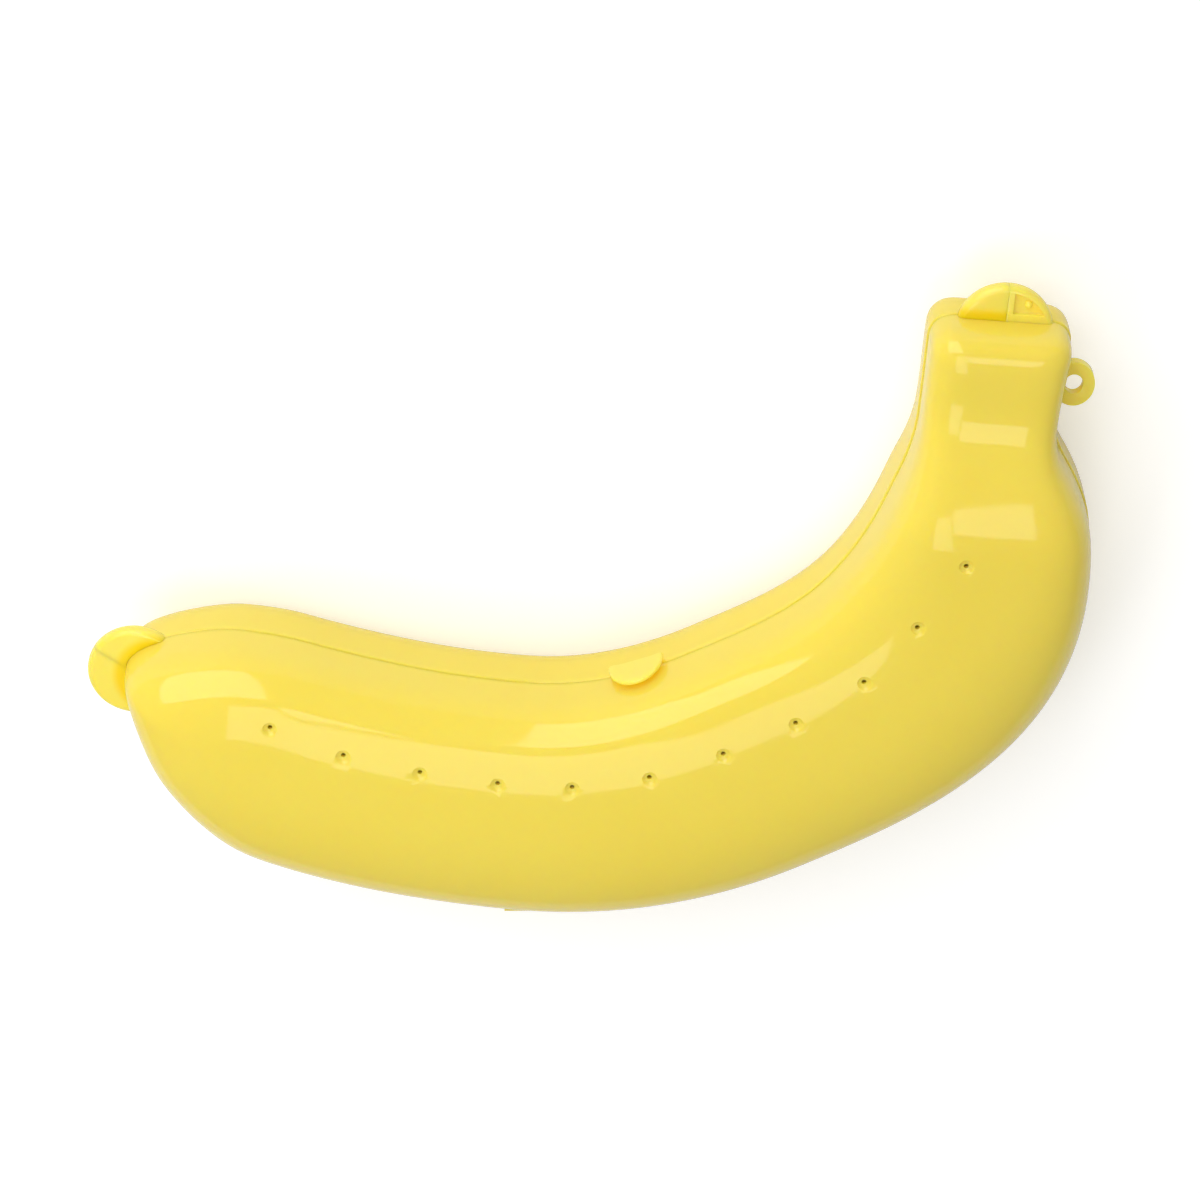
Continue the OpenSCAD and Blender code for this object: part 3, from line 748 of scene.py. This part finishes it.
hole_ends = [(LOOP_HOLE_R, -PUNCH_PAST), (LOOP_HOLE_R, LOOP_THICK + PUNCH_PAST)]
hole = turned("eye_punch", hole_ends, vertices=ROUND_SIDES)
stretch(loop, LOOP_STRETCH)
stretch(hole, HOLE_STRETCH)
cut(loop, hole)
discard(hole)
round_edges(loop, LOOP_ROUND)
put(loop, in_case(loop_at.x, loop_at.y, -LOOP_DROP - LOOP_THICK))
cut(loop, rim_plug)
smooth(loop)
dress(loop, thin_yellow, "rear_half", "lanyard_loop")

# Hinge: three knuckles on the outer rim, two on the rear shell and one between them on the front shell.
# Each is moulded on its shell with a short tang, and a plastic pin runs through them.
KNUCKLE_R, KNUCKLE_ROUND, TANG_ROUND = 1.69, 0.25, 0.01
PIN_R, PIN_END, PIN_NOSE = 0.8, 0.6, ((0.5, 0), (0.85, 0.12), (1, 0.35))
FRONT_KNUCKLE, REAR_KNUCKLE, KNUCKLE_GAP = 10, 6, 0.3
SEAT_CLEAR, RUN_CLEAR, HINGE_CLEAR = 0.02, 0.08, 0.35
hinge_low, hinge_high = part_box("hinge_pin")
hinge_line = (hinge_low + hinge_high) / 2
along_hinge = (0, math.radians(90), 0)


def knuckle(name, start, length, side, bore_r):
    """A bored barrel along X with a tang on the front (1) or the rear (-1) side of the rim."""
    barrel = turned(name, [(KNUCKLE_R, 0), (KNUCKLE_R, length)])
    put(barrel, (0, 0, 0), along_hinge)
    tang_high = KNUCKLE_R if side > 0 else 0
    tang_end = length, 2 * KNUCKLE_R + HINGE_CLEAR, tang_high
    tang = block("tang", (0, 0, tang_high - KNUCKLE_R), tang_end, TANG_ROUND)
    cut(barrel, tang, "UNION")
    discard(tang)
    round_edges(barrel, KNUCKLE_ROUND, segments=2)
    bore = turned("bore_punch", [(bore_r, -PUNCH_PAST), (bore_r, length + PUNCH_PAST)])
    put(bore, (0, 0, 0), along_hinge)
    cut(barrel, bore)
    discard(bore)
    put(barrel, hinge_line + Vector((start * MM, 0, 0)))
    cut(barrel, rim_plug)
    smooth(barrel)
    return barrel


rear_start = FRONT_KNUCKLE / 2 + KNUCKLE_GAP
tip_knuckle = knuckle("rear_tip_barrel", -rear_start - REAR_KNUCKLE, REAR_KNUCKLE, -1, PIN_R + SEAT_CLEAR)
stem_knuckle = knuckle("rear_stem_barrel", rear_start, REAR_KNUCKLE, -1, PIN_R + SEAT_CLEAR)
front_knuckle = knuckle("front_barrel", -FRONT_KNUCKLE / 2, FRONT_KNUCKLE, 1, PIN_R + RUN_CLEAR)
dress(tip_knuckle, shell_yellow, "rear_half", "rear_tip_knuckle")
dress(stem_knuckle, shell_yellow, "rear_half", "rear_stem_knuckle")
dress(front_knuckle, shell_yellow, "front_half", "front_knuckle")

pin_half = rear_start + REAR_KNUCKLE + PIN_END
pin_profile = [(share * PIN_R, -pin_half + inset) for share, inset in PIN_NOSE]
pin_profile += [(r, -z) for r, z in reversed(pin_profile)]
pin = turned("hinge_rod", pin_profile)
put(pin, hinge_line, along_hinge)
smooth(pin)
dress(pin, thin_yellow, "rear_half", "hinge_pin")
discard(rim_plug)

# Floor: a plain white table top under the case. The camera sees it a little brighter than it is lit,
# so that it comes out white and still takes the case's shadow.
TABLE_SIZE, TABLE_WHITE, TABLE_ROUGH, TABLE_SHINE, TABLE_LIFT = 6, (0.9, 0.9, 0.9), 0.9, 0.1, 0.32
bpy.ops.object.select_all(action="DESELECT")
bpy.ops.mesh.primitive_plane_add(size=TABLE_SIZE, location=(0, 0, 0))
floor = bpy.context.object
floor.name = "table_top"
floor_white = bpy.data.materials.new("table_white")
floor_white.use_nodes = True
floor_nodes, floor_links = floor_white.node_tree.nodes, floor_white.node_tree.links
table_shader = floor_nodes["Principled BSDF"]
table_shader.inputs["Base Color"].default_value = (*TABLE_WHITE, 1)
table_shader.inputs["Roughness"].default_value = TABLE_ROUGH
table_shader.inputs["Specular IOR Level"].default_value = TABLE_SHINE
table_shader.inputs["Emission Color"].default_value = (1, 1, 1, 1)
sight = floor_nodes.new("ShaderNodeLightPath")
lift = floor_nodes.new("ShaderNodeMath")
lift.operation = "MULTIPLY"
lift.inputs[1].default_value = TABLE_LIFT
floor_links.new(sight.outputs["Is Camera Ray"], lift.inputs[0])
floor_links.new(lift.outputs["Value"], table_shader.inputs["Emission Strength"])
floor.data.materials.append(floor_white)

# Studio light: an even white room and three softboxes, one over the inside of the bend, one overhead
# along the vents and one overhead by the neck. A fill light over the tip gives no reflection of its own.
ROOM_LIGHT, STUDIO_DISTANCE, FILL_DISTANCE = 0.41, 1.17, 0.6
scene = bpy.context.scene
scene.view_settings.view_transform = "Standard"
room = bpy.data.worlds.new("white_room")
scene.world = room
room.use_nodes = True
background = room.node_tree.nodes["Background"]
background.inputs["Color"].default_value = (1, 1, 1, 1)
background.inputs["Strength"].default_value = ROOM_LIGHT


def softbox(name, distance, across, high, brightness):
    """A rectangular light that faces the X axis, by its spans across in m and of heights in degrees."""
    bpy.ops.object.select_all(action="DESELECT")
    middle, half = math.radians(sum(high) / 2), math.radians((high[1] - high[0]) / 2)
    away = Vector((0, math.cos(middle), math.sin(middle)))
    place = away * distance + Vector((sum(across) / 2, 0, 0))
    bpy.ops.object.light_add(type="AREA", location=place)
    light = bpy.context.object
    light.name = name
    light.rotation_euler = away.to_track_quat("Z", "Y").to_euler()
    light.data.shape = "RECTANGLE"
    light.data.size = across[1] - across[0]
    light.data.size_y = 2 * distance * math.tan(half)
    light.data.energy = brightness * math.pi * light.data.size * light.data.size_y
    light.visible_camera = False
    return light


softbox("inner_softbox", STUDIO_DISTANCE, (-0.85, 0.08), (6, 70), 2.35)
softbox("vent_softbox", STUDIO_DISTANCE, (-0.2, 0.08), (82, 109), 1.8)
softbox("neck_softbox", STUDIO_DISTANCE, (0.1, 0.38), (78.5, 95), 2.1)
tip_fill = softbox("tip_fill", FILL_DISTANCE, (-0.6, -0.2), (90, 130), 2.3)
tip_fill.visible_glossy = False

# Camera: above the inside of the bend, looking down on the front shell, with the tip at the left.
# Its lens follows from how far off it stands and from the width of what it sees.
CAMERA_TILT = math.radians(28.5)
CAMERA_AIM = Vector((3.0924, -1.9733, RIM_Z)) * MM
CAMERA_DISTANCE = 1.0
PICTURE_WIDTH, PICTURE_SHIFT = 0.25105, 0.0163
SENSOR_WIDTH, NEAREST_SEEN = 36, 0.01
bpy.ops.object.select_all(action="DESELECT")
away = Vector((0, math.sin(CAMERA_TILT), math.cos(CAMERA_TILT)))
camera_place = CAMERA_AIM + away * CAMERA_DISTANCE
bpy.ops.object.camera_add(location=camera_place, rotation=(-CAMERA_TILT, 0, 0))
camera = bpy.context.object
camera.data.sensor_width = SENSOR_WIDTH
camera.data.lens = SENSOR_WIDTH * CAMERA_DISTANCE / PICTURE_WIDTH
camera.data.shift_y = PICTURE_SHIFT
camera.data.clip_start = NEAREST_SEEN
scene.camera = camera
